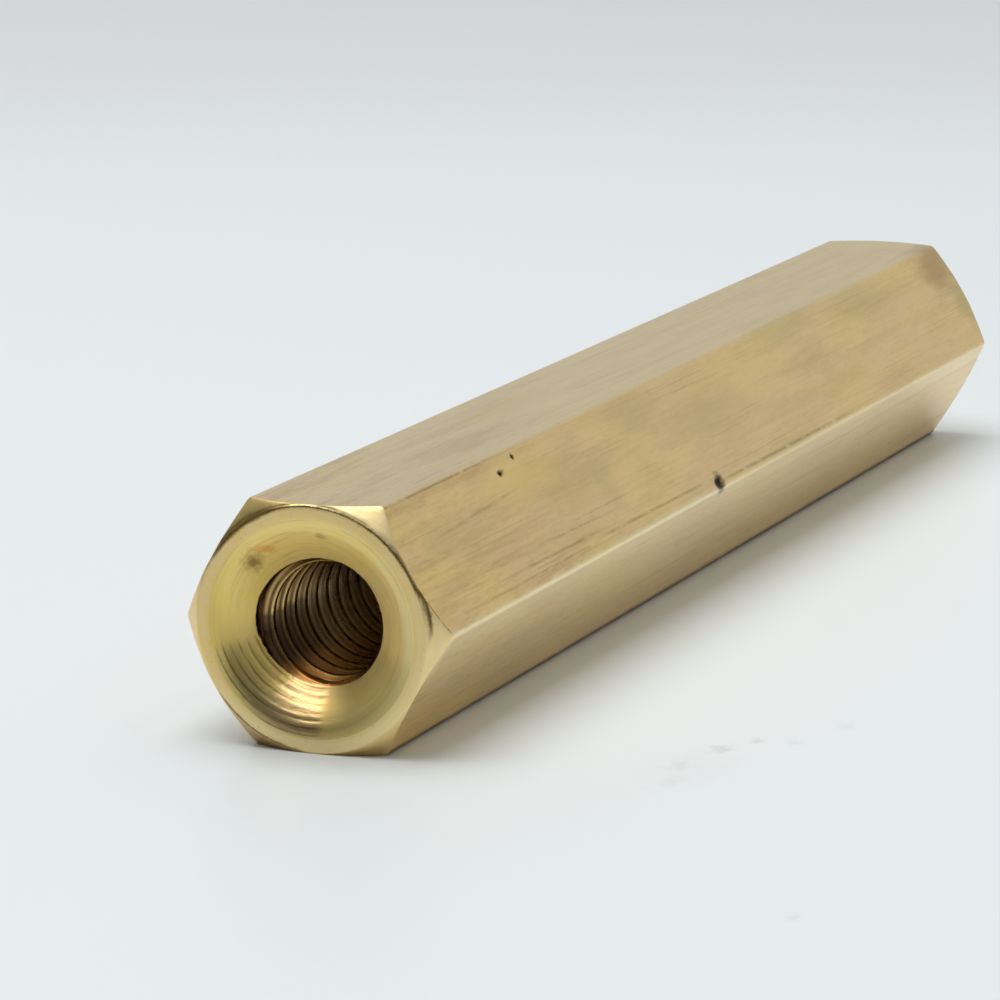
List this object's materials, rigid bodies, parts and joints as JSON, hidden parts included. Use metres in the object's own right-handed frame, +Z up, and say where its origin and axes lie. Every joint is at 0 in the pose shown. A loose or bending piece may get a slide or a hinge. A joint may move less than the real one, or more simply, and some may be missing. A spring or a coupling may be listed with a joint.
{
  "type": "hex standoff",
  "caption": "Long hexagonal brass standoff with a countersunk, tapped hole and chamfered corners at each end, lying on one of its flats.",
  "frame": {"origin": "on the flat that the standoff lies on, under the middle of its length", "axes": "+X along the axis of the bar and its two tapped holes, +Y across the corners, +Z up across the flats"},
  "size_m": [0.05, 0.008, 0.007],
  "materials": {
    "brass": "drawn satin brass, lightly tarnished, with turned end faces"
  },
  "bodies": {
    "root": {"standoff": "brass"}
  },
  "joints": []
}
